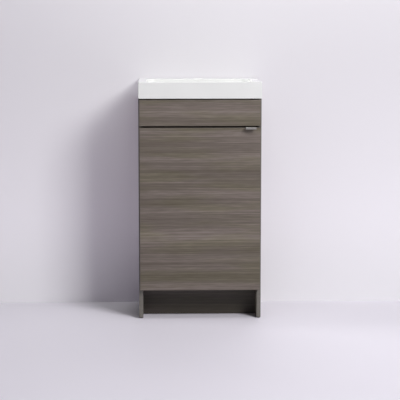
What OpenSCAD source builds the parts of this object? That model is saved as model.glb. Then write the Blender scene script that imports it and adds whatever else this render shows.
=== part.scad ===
// Freestanding vanity unit: a one-door cabinet on plinth legs under a slab wash basin.
// Millimetres. +X is right, +Y is towards the wall, +Z is up, and the floor is z = 0.
// The door is hung on the left with two cupped hinges and is pulled by a small tab handle.

/* [Cabinet] */
// Width over the two side panels, and of the basin
cabinet_w = 450; // [430:1:520]
// Height of the top edges of the side panels above the floor
cabinet_h = 815; // [790:1:840]
// Depth of the side panels with their edging
side_d = 309; // [270:1:330]
// Thickness of the side panels, base panel, rails, plinth and shelf
board_t = 15; // [15:0.5:17]
// Thickness of the edging glued round the visible board edges
edging_t = 1; // [0.6:0.1:1.5]
// Height of the plastic glides under the side panels
glide_h = 3; // [1.5:0.5:6]
// Radius of the glides
glide_r = 6.5; // [5:0.5:7]
// Distance of the glides' centres from the ends of the side panels
glide_inset = 8; // [8:1:40]

/* [Plinth] */
// Height of the base panel's underside above the floor
plinth_h = 107; // [90:1:108]
// Distance of the plinth behind the front edges of the side panels
plinth_setback = 78; // [50:1:90]
// Gap between the floor and the plinth's lower edge
plinth_floor_gap = 2; // [1:0.5:5]
// Side of the square blocks that hold the plinth from behind
block_w = 22; // [18:1:30]
// Height of the plinth blocks
block_h = 70; // [60:1:75]

/* [Door and fascia] */
// Thickness of the door and the fascia
front_t = 18; // [16:0.5:19]
// Gap between the closed door's back and the carcass
door_gap = 3; // [2.8:0.1:3.6]
// Step from a side panel's outer face to the edge of the door
front_reveal = 4; // [3:0.5:5]
// Height of the door's lower edge above the underside of the base panel
door_lift = 2; // [1:0.5:6]
// Height of the fascia
fascia_h = 95; // [90:1:101]
// Gap between the door and the fascia
fascia_gap = 6.5; // [4:0.5:8]
// Gap between the fascia and the basin
fascia_top_gap = 4.5; // [3:0.5:8]
// Thickness of the soft bumpers' contact gap when the door is closed
bumper_gap = 0.3; // [0.3:0.1:0.6]
// Radius of the door bumpers
bumper_r = 4; // [3:0.5:5]

/* [Handle] */
// Width of the tab handle
handle_w = 38; // [30:1:80]
// Distance of the handle from the door's closing edge
handle_inset = 17; // [10:1:60]
// Reach of the handle in front of the door
handle_reach = 18; // [12:1:25]
// Thickness of the handle's metal
handle_t = 2; // [1.5:0.1:2.5]
// Height of the handle's front lip
handle_lip_h = 7; // [6:0.2:12]
// Height of the handle's rear leg, let into the back of the door
handle_leg_h = 30; // [24:1:40]

/* [Rails, shelf and back] */
// Height of the front rail
front_rail_h = 57; // [50:1:60]
// Overlap of the door on the front rail, which stops it
door_overlap = 12; // [10:1:14]
// Height of the rear rail, which is fixed to the wall
back_rail_h = 80; // [70:1:85]
// Height of the shelf's underside above the floor
shelf_z = 396; // [360:1:420]
// Distance of the shelf behind the front edges of the side panels
shelf_setback = 22; // [20:1:40]
// Play between the shelf and each side panel
shelf_play = 1.5; // [1.3:0.1:2]
// Thickness of the back panel
back_t = 3; // [2.5:0.5:4]
// Space behind the back panel for pipes
service_d = 30; // [25:1:40]
// Depth of the grooves that hold the back panel
groove_d = 5; // [4:0.5:6]
// Distance of the back panel's top edge below the side panels'
back_drop = 90; // [87:1:100]
// Width of the pipe cut-out in the back panel
cutout_w = 200; // [120:5:260]
// Height of the pipe cut-out
cutout_h = 120; // [80:5:160]
// Height of the cut-out's lower edge above the floor
cutout_z = 450; // [440:5:500]

/* [Basin] */
// Height of the basin's slab
basin_h = 60; // [50:1:70]
// Thickness of the basin's top and apron
basin_wall = 12; // [10:0.5:14]
// Thickness of the bowl's shell
bowl_wall = 9; // [8:0.5:10]
// Width of the rim in front of the bowl
rim_front = 24; // [22:1:32]
// Width of the rim at each side of the bowl
rim_side = 30; // [28:1:60]
// Depth of the flat ledge behind the bowl
tap_ledge = 85; // [80:1:95]
// Depth of the bowl below the rim
bowl_depth = 100; // [90:1:102]
// Amount by which each bowl wall leans inwards on its way down
bowl_draft = 10; // [8:1:14]
// Radius of the bowl's corners at the rim
bowl_corner_r = 34; // [26:1:40]
// Radius between the bowl's walls and its floor
bowl_floor_r = 28; // [22:1:32]
// Radius of the basin's outer vertical corners
basin_corner_r = 4; // [3:0.5:8]
// Radius of the tap hole
tap_hole_r = 17.5; // [16:0.5:18]
// Distance of the tap hole's centre from the basin's back
tap_hole_inset = 50; // [40:1:55]
// Radius of the overflow hole
overflow_r = 11; // [9:0.5:12]
// Depth of the overflow hole's centre below the rim
overflow_drop = 30; // [26:1:34]

/* [Waste] */
// Radius of the waste hole in the bowl's floor
waste_hole_r = 23; // [22.5:0.1:24]
// Outer radius of the waste body's tail, an inch and a quarter thread
waste_r = 20.95; // [20.5:0.05:21]
// Outer radius of the waste body's neck, from the flange down to the back nut
neck_r = 21.4; // [21.2:0.1:21.6]
// Inner radius of the waste body
waste_bore_r = 17; // [16:0.5:18]
// Radius of the waste flange
flange_r = 32; // [30:0.5:34]
// Thickness of the waste flange
flange_t = 2.5; // [2:0.1:3]
// Radius of the plug
plug_r = 29; // [27:0.5:30]
// Thickness of the plug
plug_t = 4.5; // [3:0.5:6]
// Length of the waste body below the bowl
waste_tail = 63; // [55:1:70]

/* [Hinges] */
// Radius of the hinge cups
cup_r = 17.5; // [17.5:0.1:17.6]
// Depth of the hinge cups in the door
cup_d = 13; // [12.8:0.1:13.4]
// Distance of the cup's wall from the door's edge
cup_inset = 3; // [3:0.1:3.4]
// Distance of the hinges from the door's top and bottom edges
hinge_inset = 90; // [70:1:110]
// Width of the hinge arms
arm_w = 14; // [14:0.1:14.6]
// Radius of the hinge pins
hinge_pin_r = 1.25; // [1:0.05:1.4]
// Distance of the plate screws behind the carcass front
plate_inset = 37; // [35:1:40]
// Spacing of the plate screws
plate_pitch = 32; // [28:1:34]

/* [Fixings] */
// Radius of the wood screws' shanks
screw_r = 1.75; // [1.5:0.05:2]
// Radius of the wood screws' heads
screw_head_r = 3.4; // [3:0.1:3.6]
// Height of the wood screws' heads
screw_head_h = 2; // [1.5:0.1:2.2]
// Radius of the cam locks
cam_r = 7.5; // [7:0.25:7.5]
// Depth of the cam locks
cam_d = 11.5; // [10:0.5:12]
// Distance of the cam locks from the ends of their boards
cam_inset = 24; // [22:1:34]
// Radius of the cam bolts' shanks
cam_bolt_r = 3; // [2.5:0.1:3.2]
// Radius of the cam bolts' threads in the side panels
cam_thread_r = 2.5; // [2:0.1:2.8]
// Radius of the dowels
dowel_r = 4; // [3:0.5:4]
// Length of a dowel in each of its two boards
dowel_half = 10; // [8:1:11]
// Radius of the shelf pins
shelf_pin_r = 2.5; // [2:0.1:3]
// Pitch of the row of shelf holes
shelf_pitch = 32; // [28:1:32]
// Number of shelf holes above and below the shelf's own
shelf_holes = 2; // [1:1:2]
// Radius of the wall-fixing holes in the rear rail
wall_hole_r = 4; // [3:0.5:5]
// Spacing of the wall-fixing holes
wall_hole_pitch = 300; // [240:5:310]
// Clearance round a fixed pin, screw or dowel in its hole
fit = 0.05; // [0.03:0.01:0.1]
// Clearance between pieces that turn or slide on each other
play = 0.4; // [0.35:0.01:0.45]

/* [Hidden] */
$fn = 48;

// Places worked out from the sizes above
eps = 0.5;
half_w = cabinet_w / 2;
inner_half = half_w - board_t;
basin_d = side_d + door_gap + front_t;
y_back = (basin_d + handle_reach) / 2;
y_carcass = y_back - side_d;
y_board = y_carcass + edging_t;
y_door_back = y_carcass - door_gap;
y_door_front = y_door_back - front_t;
y_handle = y_door_front - handle_reach;
base_top = plinth_h + board_t;
front_half = half_w - front_reveal;
fascia_top = cabinet_h - fascia_top_gap;
fascia_bottom = fascia_top - fascia_h;
door_top = fascia_bottom - fascia_gap;
door_bottom = plinth_h + door_lift;
back_top = cabinet_h - back_drop;
rail_bottom = door_top - door_overlap;
rail_top = rail_bottom + front_rail_h;
back_rail_y = y_back - board_t;
back_rail_z = cabinet_h - back_rail_h;
back_y = y_back - service_d - back_t;
y_plinth = y_carcass + plinth_setback;
rim_z = cabinet_h + basin_h;
groove_play = 0.2;

// Joints of the boards: cam locks and dowels at both ends of each board
base_margin = 8;
base_back = back_y + back_t + base_margin;
base_joint_inset = 40;
base_dowel_step = 32;
base_cam_y = [y_carcass + base_joint_inset, base_back - base_joint_inset];
base_dowel_y = [for (y = base_cam_y) y + base_dowel_step * sign(y_plinth - y)];
joint_step = 14;
front_cam_z = rail_bottom + front_rail_h / 2 + joint_step;
front_dowel_z = front_cam_z - 2 * joint_step;
back_cam_z = back_rail_z + back_rail_h / 2 + joint_step;
back_dowel_z = back_cam_z - 2 * joint_step;
base_mid_z = plinth_h + board_t / 2;
front_mid_y = y_carcass + board_t / 2;
back_mid_y = back_rail_y + board_t / 2;
cam_points = concat(
    [for (y = base_cam_y) [y, base_mid_z]],
    [[front_mid_y, front_cam_z], [back_mid_y, back_cam_z]]
);
dowel_points = concat(
    [for (y = base_dowel_y) [y, base_mid_z]],
    [[front_mid_y, front_dowel_z], [back_mid_y, back_dowel_z]]
);
cam_thread_l = 10;

// Shelf
shelf_pin_depth = 8;
shelf_pin_reach = 7;
shelf_collar_t = 1.2;
shelf_collar_r = 4;
shelf_front = y_carcass + shelf_setback;
shelf_back_gap = 2;
shelf_back = back_y - shelf_back_gap;
rear_pin_inset = 35;
shelf_pin_y = [y_carcass + plate_inset, shelf_back - rear_pin_inset];
shelf_pin_z = shelf_z - shelf_pin_r;
shelf_half = inner_half - shelf_play;

// Hinges: plan points are [u, w], with u from the left panel's outer face to the right
// and w from the carcass front towards the room. A link runs from its pin in the arm,
// past its bends, to its end in the cup, all set from the door's corner.
hinge_z = [door_bottom + hinge_inset, door_top - hinge_inset];
door_corner = [front_reveal, door_gap];
outer_pin_at = [30.71, -7.55];
outer_low_bend = [26.2, -1.5];
outer_high_bend = [18.4, 8.8];
outer_last_bend = [14, 9.4];
outer_end_at = [7.4, 8];
inner_pin_at = [31.07, 3.72];
inner_low_bend = [25, 4.2];
inner_high_bend = [18.5, 7];
inner_last_bend = [11, 7.2];
inner_end_at = [9, 6];
outer_points = [outer_pin_at, outer_low_bend, outer_high_bend, outer_last_bend, outer_end_at];
inner_points = [inner_pin_at, inner_low_bend, inner_high_bend, inner_last_bend, inner_end_at];
outer_route = [for (p = outer_points) door_corner + p];
inner_route = [for (p = inner_points) door_corner + p];
outer_arm_pivot = outer_route[0];
inner_arm_pivot = inner_route[0];
cup_centre_u = front_reveal + cup_inset + cup_r;
cup_wall = 1;
cup_flange_t = 1.2;
cup_ear_pitch = 45;
cup_ear_offset = 9.5;
cup_ear_r = 5;
cheek_t = 1.4;
link_t = 2;
link_eye_r = 3;
link_end_r = 1.6;
outer_strip_w = 1.8;
outer_strip_z = arm_w / 2 - cheek_t - play - outer_strip_w;
inner_strip_w = 2 * (outer_strip_z - play);
nose_r = 2.6;
plate_wing_t = 3;
plate_wing_w = 13;
plate_wing_end = 8;
plate_block_h = 10;
plate_block_l = 38;
plate_top = board_t + plate_block_h;
arm_web_t = 1.5;
arm_top = plate_top + arm_web_t;
arm_screw_r = 2.5;
arm_screw_head_r = 3.8;

// Basin
bowl_half = half_w - rim_side;
bowl_front = y_door_front + rim_front;
bowl_back = y_back - tap_ledge;
bowl_mid = (bowl_front + bowl_back) / 2;
bowl_floor = rim_z - bowl_depth;
shell_bottom = bowl_floor - bowl_wall;
bowl_floor_flat_r = 3;
overflow_z = rim_z - overflow_drop;
shell_top = rim_z - basin_wall;
overflow_wall = bowl_back
    - bowl_draft * (shell_top - overflow_z) / (shell_top - bowl_floor - bowl_floor_r);
overflow_lip = 3;
overflow_lip_t = 1.5;

// Waste
seal_t = 1.5;
lower_seal_h = 6;
nut_h = 9;
nut_r = 30;
stem_r = 4;
stem_l = 30;
spider_t = 5;
spider_w = 12;
flange_z = bowl_floor + seal_t;
plug_gap = 0.3;
plug_z = flange_z + flange_t + plug_gap;
waste_end = shell_bottom - waste_tail;
nut_bottom = shell_bottom - lower_seal_h - nut_h;

// Screws of the fascia, brackets, handle and bumpers
rail_screw_x = [-wall_hole_pitch / 2, wall_hole_pitch / 2];
rail_screw_z = (fascia_bottom + rail_top) / 2;
spacer_r = 7;
fascia_bite = 10;
bracket_t = 2;
bracket_leg = 18;
bracket_h = 16;
bracket_drop = 30;
bracket_z = fascia_top - bracket_drop;
short_screw_l = 9;
handle_x = front_half - handle_inset - handle_w / 2;
handle_screw_x = handle_w / 4;
handle_screw_z = door_top - handle_leg_h * 2 / 3;
handle_bottom = door_top - handle_leg_h;
bumper_x = half_w - board_t / 2;
bumper_inset = 20;
bumper_z = [door_bottom + bumper_inset, door_top - bumper_inset];

// Colours
wood = [0.46, 0.43, 0.40];
lipping = [0.47, 0.47, 0.44];
pale_board = [0.80, 0.78, 0.74];
ceramic = [0.93, 0.93, 0.94];
steel = [0.72, 0.73, 0.75];
satin = [0.62, 0.62, 0.63];
dark_plastic = [0.10, 0.10, 0.11];
clear_plastic = [0.82, 0.84, 0.84];
timber = [0.78, 0.66, 0.48];

// Round bars along each axis, starting at a point
module bar_x(p, r, l) translate(p) rotate([0, 90, 0]) cylinder(r = r, h = l);
module bar_y(p, r, l) translate(p) rotate([-90, 0, 0]) cylinder(r = r, h = l);
module bar_z(p, r, l) translate(p) cylinder(r = r, h = l);
module block(low, high) translate(low) cube(high - low);
module both_sides() for (side = [0, 1]) mirror([side, 0, 0]) children();

// A wood screw driven along +Y from p, which is the underside of its head
module screw_y(p, l) {
    bar_y(p, screw_r, l);
    bar_y(p - [0, screw_head_h, 0], screw_head_r, screw_head_h);
}
// A wood screw driven along +X from p, which is the underside of its head
module screw_x(p, l) {
    bar_x(p, screw_r, l);
    bar_x(p - [screw_head_h, 0, 0], screw_head_r, screw_head_h);
}

// A solid drawn in the hinges' plan, as high as h and centred on height z
module in_plan(z, h) translate([-half_w, y_carcass, z - h / 2]) mirror([0, 1, 0])
    linear_extrude(h) children();
// A strip of thickness t along a route of plan points, with round joints
module strip(route, t) {
    for (i = [1 : len(route) - 1]) {
        step = route[i] - route[i - 1];
        translate(route[i - 1]) rotate(atan2(step.y, step.x))
            translate([0, -t / 2]) square([norm(step), t]);
    }
    for (p = route) translate(p) circle(r = t / 2);
}

// Holes for the cam bolts and dowels in the inner face of the right side panel
module side_joint_holes() {
    for (p = cam_points) bar_x([inner_half - eps, p.x, p.y], cam_thread_r + fit, cam_thread_l + eps);
    for (p = dowel_points) bar_x([inner_half - eps, p.x, p.y], dowel_r + fit, dowel_half + fit + eps);
}
// Pockets in both ends of a board for its cams, bolts and dowels.
// from is the side that the cams are put in from: "below", "behind" or "in front".
module end_joint_holes(cams, pegs, from) both_sides() {
    for (p = cams) {
        cam_x = inner_half - cam_inset;
        bar_x([cam_x, p.x, p.y], cam_bolt_r + fit, cam_inset + eps);
        if (from == "below") bar_z([cam_x, p.x, plinth_h - eps], cam_r + fit, cam_d + eps);
        if (from == "behind") bar_y([cam_x, p.x + board_t / 2 - cam_d, p.y], cam_r + fit, cam_d + eps);
        if (from == "in front") bar_y([cam_x, p.x - board_t / 2 - eps, p.y], cam_r + fit, cam_d + eps);
    }
    for (p = pegs)
        bar_x([inner_half - dowel_half - fit, p.x, p.y], dowel_r + fit, dowel_half + fit + eps);
}

// Right side panel with every hole that both panels share
module side_board() difference() {
    block([inner_half, y_board, glide_h], [half_w, y_back, cabinet_h]);
    side_joint_holes();
    block(
        [inner_half - eps, back_y - groove_play / 2, base_top - groove_d],
        [inner_half + groove_d, back_y + back_t + groove_play / 2, back_top + groove_play]
    );
    for (y = shelf_pin_y, row = [-shelf_holes : shelf_holes])
        bar_x([inner_half - eps, y, shelf_pin_z + row * shelf_pitch], shelf_pin_r + fit,
            shelf_pin_depth + fit + eps);
    for (y = [y_carcass + glide_inset, y_back - glide_inset])
        bar_z([half_w - board_t / 2, y, glide_h - eps], screw_r + fit, short_screw_l + eps);
    bar_x([inner_half - eps, y_carcass + bracket_leg / 2, bracket_z], screw_r + fit,
        short_screw_l + eps);
}
module side_panel_right() color(wood) side_board();
module side_panel_left() color(wood) difference() {
    mirror([1, 0, 0]) side_board();
    for (z = hinge_z, step = [-0.5, 0.5])
        bar_x([-inner_half - short_screw_l, y_carcass + plate_inset, z + step * plate_pitch],
            screw_r + fit, short_screw_l + eps);
}
module side_edging() color(lipping) both_sides()
    block([inner_half, y_carcass, glide_h], [half_w, y_board, cabinet_h]);

module base_panel() color(wood) difference() {
    block([-inner_half, y_board, plinth_h], [inner_half, base_back, base_top]);
    end_joint_holes([for (y = base_cam_y) [y, base_mid_z]],
        [for (y = base_dowel_y) [y, base_mid_z]], "below");
    block(
        [-half_w, back_y - groove_play / 2, base_top - groove_d],
        [half_w, back_y + back_t + groove_play / 2, base_top + eps]
    );
}
module base_edging() color(lipping)
    block([-inner_half, y_carcass, plinth_h], [inner_half, y_board, base_top]);

block_screw_inset = 15;
block_screws = [plinth_h - block_h + block_screw_inset, plinth_h - block_screw_inset];
module plinth() color(wood) difference() {
    block([-inner_half, y_plinth, plinth_floor_gap], [inner_half, y_plinth + board_t, plinth_h]);
    both_sides() for (z = block_screws)
        bar_y([inner_half - block_w / 2, y_plinth + board_t - short_screw_l, z], screw_r + fit,
            short_screw_l + eps);
}
module plinth_blocks() color(timber) both_sides() difference() {
    block(
        [inner_half - block_w, y_plinth + board_t, plinth_h - block_h],
        [inner_half, y_plinth + board_t + block_w, plinth_h]
    );
    for (z = block_screws)
        bar_y([inner_half - block_w / 2, y_plinth + board_t - eps, z], screw_r + fit,
            block_w + 2 * eps);
}
module plinth_screws() color(steel) both_sides() for (z = block_screws)
    translate([inner_half - block_w / 2, y_plinth + board_t + block_w, z]) mirror([0, 1, 0])
        screw_y([0, 0, 0], block_w + short_screw_l - fit);

// Black plastic glides, each on its own nail
module floor_glides() color(dark_plastic) both_sides()
    for (y = [y_carcass + glide_inset, y_back - glide_inset]) {
        bar_z([half_w - board_t / 2, y, 0], glide_r, glide_h);
        bar_z([half_w - board_t / 2, y, 0], screw_r, glide_h + short_screw_l - fit);
    }

module front_rail() color(wood) difference() {
    block([-inner_half, y_carcass, rail_bottom], [inner_half, y_carcass + board_t, rail_top]);
    end_joint_holes([[front_mid_y, front_cam_z]], [[front_mid_y, front_dowel_z]], "behind");
    for (x = rail_screw_x)
        bar_y([x, y_carcass - eps, rail_screw_z], screw_r + fit, board_t + 2 * eps);
}
module back_rail() color(wood) difference() {
    block([-inner_half, back_rail_y, back_rail_z], [inner_half, y_back, cabinet_h]);
    end_joint_holes([[back_mid_y, back_cam_z]], [[back_mid_y, back_dowel_z]], "in front");
    for (side = [-0.5, 0.5])
        bar_y([side * wall_hole_pitch, back_rail_y - eps, cabinet_h - back_rail_h / 2],
            wall_hole_r, board_t + 2 * eps);
}
module back_panel() color(pale_board) difference() {
    edge = inner_half + groove_d - groove_play;
    block([-edge, back_y, base_top - groove_d], [edge, back_y + back_t, back_top]);
    block([-cutout_w / 2, back_y - eps, cutout_z],
        [cutout_w / 2, back_y + back_t + eps, cutout_z + cutout_h]);
}

// Cam locks: the base's lie in its underside, the rails' in their hidden faces
module cam(axis_z) difference() {
    cylinder(r = cam_r, h = cam_d);
    bar_x([0, 0, axis_z], cam_bolt_r + fit, cam_r + eps);
}
cam_axis = board_t / 2;
module cam_locks() color(steel) both_sides() {
    cam_x = inner_half - cam_inset;
    for (y = base_cam_y) translate([cam_x, y, plinth_h]) cam(cam_axis);
    translate([cam_x, y_carcass + board_t, front_cam_z]) rotate([90, 0, 0]) cam(cam_axis);
    translate([cam_x, back_rail_y, back_cam_z]) rotate([-90, 0, 0]) cam(cam_axis);
}
module cam_bolts() color(steel) both_sides() for (p = cam_points) {
    bar_x([inner_half - cam_inset + fit, p.x, p.y], cam_bolt_r, cam_inset - fit);
    bar_x([inner_half - eps, p.x, p.y], cam_thread_r, cam_thread_l + eps - fit);
}
module dowels() color(timber) both_sides() for (p = dowel_points)
    bar_x([inner_half - dowel_half, p.x, p.y], dowel_r, 2 * dowel_half);

module shelf() color(wood)
    block([-shelf_half, shelf_front + edging_t, shelf_z], [shelf_half, shelf_back, shelf_z + board_t]);
module shelf_edging() color(lipping)
    block([-shelf_half, shelf_front, shelf_z], [shelf_half, shelf_front + edging_t, shelf_z + board_t]);
module shelf_pins() color(steel) both_sides() for (y = shelf_pin_y) {
    bar_x([inner_half - shelf_collar_t - shelf_pin_reach, y, shelf_pin_z], shelf_pin_r,
        shelf_pin_reach + shelf_collar_t + shelf_pin_depth);
    intersection() {
        bar_x([inner_half - shelf_collar_t, y, shelf_pin_z], shelf_collar_r, shelf_collar_t);
        block([0, y - board_t, shelf_z - board_t], [half_w, y + board_t, shelf_z]);
    }
}

// A front board without its edging, and the edging round it
module front_board(low_z, high_z) block(
    [-front_half + edging_t, y_door_front, low_z + edging_t],
    [front_half - edging_t, y_door_back, high_z - edging_t]
);
module front_edging(low_z, high_z) difference() {
    block([-front_half, y_door_front, low_z], [front_half, y_door_back, high_z]);
    block(
        [-front_half + edging_t, y_door_front - eps, low_z + edging_t],
        [front_half - edging_t, y_door_back + eps, high_z - edging_t]
    );
}

module fascia() color(wood) difference() {
    front_board(fascia_bottom, fascia_top);
    for (x = rail_screw_x)
        bar_y([x, y_door_back - fascia_bite, rail_screw_z], screw_r + fit, fascia_bite + eps);
    both_sides() bar_y([inner_half - bracket_leg / 2, y_door_back - short_screw_l, bracket_z],
        screw_r + fit, short_screw_l + eps);
}
module fascia_edging() color(lipping) front_edging(fascia_bottom, fascia_top);
module fascia_spacers() color(clear_plastic) for (x = rail_screw_x) difference() {
    bar_y([x, y_door_back, rail_screw_z], spacer_r, door_gap);
    bar_y([x, y_door_back - eps, rail_screw_z], screw_r + fit, door_gap + 2 * eps);
}
module fascia_screws() color(steel) for (x = rail_screw_x)
    translate([x, y_carcass + board_t, rail_screw_z]) mirror([0, 1, 0])
        screw_y([0, 0, 0], board_t + door_gap + fascia_bite - fit);
// Steel angles that hold the fascia's upper edge to the side panels
module fascia_brackets() color(steel) both_sides() difference() {
    union() {
        block([inner_half - bracket_t, y_door_back, bracket_z - bracket_h / 2],
            [inner_half, y_carcass + bracket_leg, bracket_z + bracket_h / 2]);
        block([inner_half - bracket_leg, y_door_back, bracket_z - bracket_h / 2],
            [inner_half, y_door_back + bracket_t, bracket_z + bracket_h / 2]);
    }
    bar_x([inner_half - bracket_t - eps, y_carcass + bracket_leg / 2, bracket_z], screw_r + fit,
        bracket_t + 2 * eps);
    bar_y([inner_half - bracket_leg / 2, y_door_back - eps, bracket_z], screw_r + fit,
        bracket_t + 2 * eps);
}
module bracket_screws() color(steel) both_sides() {
    screw_x([inner_half - bracket_t, y_carcass + bracket_leg / 2, bracket_z],
        bracket_t + short_screw_l - fit);
    translate([inner_half - bracket_leg / 2, y_door_back + bracket_t, bracket_z]) mirror([0, 1, 0])
        screw_y([0, 0, 0], bracket_t + short_screw_l - fit);
}

// Room in the door and its edging for the handle's rear leg
module handle_pocket() block(
    [handle_x - handle_w / 2 - fit, y_door_back - handle_t - fit, handle_bottom - fit],
    [handle_x + handle_w / 2 + fit, y_door_back + eps, door_top + eps]
);
module door() color(wood) difference() {
    front_board(door_bottom, door_top);
    handle_pocket();
    for (side = [-1, 1])
        bar_y([handle_x + side * handle_screw_x, y_door_back - handle_t - short_screw_l, handle_screw_z],
            screw_r + fit, short_screw_l);
    for (z = hinge_z) {
        bar_y([cup_centre_u - half_w, y_door_back - cup_d - fit, z], cup_r + fit, cup_d + fit + eps);
        for (step = [-0.5, 0.5])
            bar_y([cup_centre_u + cup_ear_offset - half_w, y_door_back - short_screw_l,
                z + step * cup_ear_pitch], screw_r + fit, short_screw_l + eps);
    }
}
module door_edging() color(lipping) difference() {
    front_edging(door_bottom, door_top);
    handle_pocket();
}
module door_bumpers() color(clear_plastic) for (z = bumper_z)
    bar_y([bumper_x, y_door_back, z], bumper_r, door_gap - bumper_gap);

// One bent strip: front lip, plate over the door's top edge, and rear leg
module handle_profile() {
    plate_top_z = door_top + handle_t;
    translate([y_handle, plate_top_z - handle_lip_h])
        square([handle_t, handle_lip_h - handle_t]);
    intersection() {
        translate([y_handle + handle_t, door_top]) circle(r = handle_t);
        translate([y_handle, door_top]) square(handle_t);
    }
    translate([y_handle + handle_t, door_top])
        square([front_t + handle_reach - 2 * handle_t, handle_t]);
    intersection() {
        translate([y_door_back - handle_t, door_top]) circle(r = handle_t);
        translate([y_door_back - handle_t, door_top]) square(handle_t);
    }
    translate([y_door_back - handle_t, handle_bottom]) square([handle_t, handle_leg_h]);
}
module door_handle() color(satin) difference() {
    translate([handle_x - handle_w / 2, 0, 0]) rotate([90, 0, 90]) linear_extrude(handle_w)
        handle_profile();
    for (side = [-1, 1]) {
        x = handle_x + side * handle_screw_x;
        bar_y([x, y_door_back - handle_t - eps, handle_screw_z], screw_r + fit, handle_t + 2 * eps);
    }
}
handle_screw_head_h = 1.2;
module handle_screws() color(steel) for (side = [-1, 1]) {
    x = handle_x + side * handle_screw_x;
    bar_y([x, y_door_back - handle_t - short_screw_l + fit, handle_screw_z], screw_r,
        handle_t + short_screw_l - fit);
    bar_y([x, y_door_back, handle_screw_z], screw_head_r, handle_screw_head_h);
}

// Mounting plates on the left side panel: a cross wing and a block under the arm
plate_block_w = arm_w - 2 * cheek_t - play;
module hinge_plates() color(steel) for (z = hinge_z) difference() {
    union() {
        in_plan(z, plate_block_w) translate([board_t, -plate_inset - plate_block_l / 2])
            square([plate_block_h, plate_block_l]);
        in_plan(z, plate_pitch + 2 * plate_wing_end) translate([board_t, -plate_inset - plate_wing_w / 2])
            square([plate_wing_t, plate_wing_w]);
    }
    for (step = [-0.5, 0.5])
        bar_x([-inner_half - eps, y_carcass + plate_inset, z + step * plate_pitch], screw_r + fit,
            plate_wing_t + 2 * eps);
    bar_x([plate_top - half_w - plate_block_h / 2, y_carcass + plate_inset, z], arm_screw_r + fit,
        plate_block_h);
}
module hinge_plate_screws() color(steel) for (z = hinge_z, step = [-0.5, 0.5])
    translate([-inner_half + plate_wing_t, y_carcass + plate_inset, z + step * plate_pitch])
        mirror([1, 0, 0]) screw_x([0, 0, 0], plate_wing_t + short_screw_l - fit);

// Cranked arms: two cheeks and a web that lies on the plate
arm_tail = 3;
arm_back = -plate_inset - plate_block_l / 2 - arm_tail;
arm_foot = board_t + plate_wing_t + play;
crank_lead = 2;
crank = -plate_inset + plate_block_l / 2 + crank_lead;
heel = 6;
nose_u = outer_arm_pivot.x + nose_r;
nose_foot = outer_arm_pivot.y - link_eye_r - play;
module cheek_profile() {
    polygon([
        [arm_foot, arm_back], [arm_top, arm_back], [arm_top, crank],
        [nose_u, nose_foot], outer_arm_pivot + [nose_r, 0],
        outer_arm_pivot - [nose_r, 0], [arm_foot + heel, crank + heel], [arm_foot, crank]
    ]);
    strip([outer_arm_pivot, inner_arm_pivot], 2 * nose_r);
}
module web_profile() polygon([
    [plate_top, arm_back], [arm_top, arm_back], [arm_top, crank],
    [nose_u, nose_foot], [nose_u - arm_web_t, nose_foot], [plate_top, crank + arm_web_t / 2]
]);
module hinge_arms() color(steel) for (z = hinge_z) difference() {
    union() {
        for (side = [-1, 1]) in_plan(z + side * (arm_w - cheek_t) / 2, cheek_t) cheek_profile();
        in_plan(z, arm_w) web_profile();
    }
    in_plan(z, arm_w + 2 * eps) {
        translate(outer_arm_pivot) circle(r = hinge_pin_r + fit);
        translate(inner_arm_pivot) circle(r = hinge_pin_r + fit);
    }
    bar_x([plate_top - half_w - eps, y_carcass + plate_inset, z], arm_screw_r + fit,
        arm_web_t + 2 * eps);
}
module hinge_arm_screws() color(steel) for (z = hinge_z) {
    bar_x([plate_top - half_w - plate_block_h / 2 + fit, y_carcass + plate_inset, z], arm_screw_r,
        plate_block_h / 2 + arm_web_t);
    bar_x([arm_top - half_w, y_carcass + plate_inset, z], arm_screw_head_r, screw_head_h);
}
module hinge_pins() color(steel) for (z = hinge_z) in_plan(z, arm_w) {
    translate(outer_arm_pivot) circle(r = hinge_pin_r);
    translate(inner_arm_pivot) circle(r = hinge_pin_r);
}

// Links: each turns on its arm pin and ends in the cup, clear of the cup's walls
module link_profile(route) difference() {
    union() {
        strip(route, link_t);
        translate(route[0]) circle(r = link_eye_r);
        translate(route[len(route) - 1]) circle(r = link_end_r);
    }
    translate(route[0]) circle(r = hinge_pin_r + fit);
}
module hinge_outer_links() color(steel) for (z = hinge_z) {
    for (side = [-1, 1]) in_plan(z + side * (outer_strip_z + outer_strip_w / 2), outer_strip_w)
        link_profile(outer_route);
    in_plan(z, 2 * (outer_strip_z + outer_strip_w)) link_profile([outer_route[0], outer_route[1]]);
}
module hinge_inner_links() color(steel) for (z = hinge_z) in_plan(z, inner_strip_w)
    link_profile(inner_route);

// Cups pressed into the door, with a screwed ear above and below
module hinge_cups() color(steel) for (z = hinge_z) {
    cup_x = cup_centre_u - half_w;
    difference() {
        union() {
            bar_y([cup_x, y_door_back - cup_d, z], cup_r, cup_d);
            for (step = [-0.5, 0.5]) {
                bar_y([cup_x + cup_ear_offset, y_door_back, z + step * cup_ear_pitch], cup_ear_r,
                    cup_flange_t);
                block([cup_x, y_door_back, z + step * cup_ear_pitch - cup_ear_r],
                    [cup_x + cup_ear_offset, y_door_back + cup_flange_t,
                        z + step * cup_ear_pitch + cup_ear_r]);
            }
            bar_y([cup_x, y_door_back, z], cup_r + cup_wall, cup_flange_t);
        }
        bar_y([cup_x, y_door_back - cup_d + cup_wall, z], cup_r - cup_wall, cup_d + cup_flange_t);
        block([cup_x - cup_r - 2 * cup_wall, y_door_back, z - arm_w / 2],
            [cup_x, y_door_back + cup_flange_t + eps, z + arm_w / 2]);
        for (step = [-0.5, 0.5])
            bar_y([cup_x + cup_ear_offset, y_door_back - eps, z + step * cup_ear_pitch],
                screw_r + fit, cup_flange_t + 2 * eps);
    }
}
cup_screw_head_h = 1;
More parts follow.
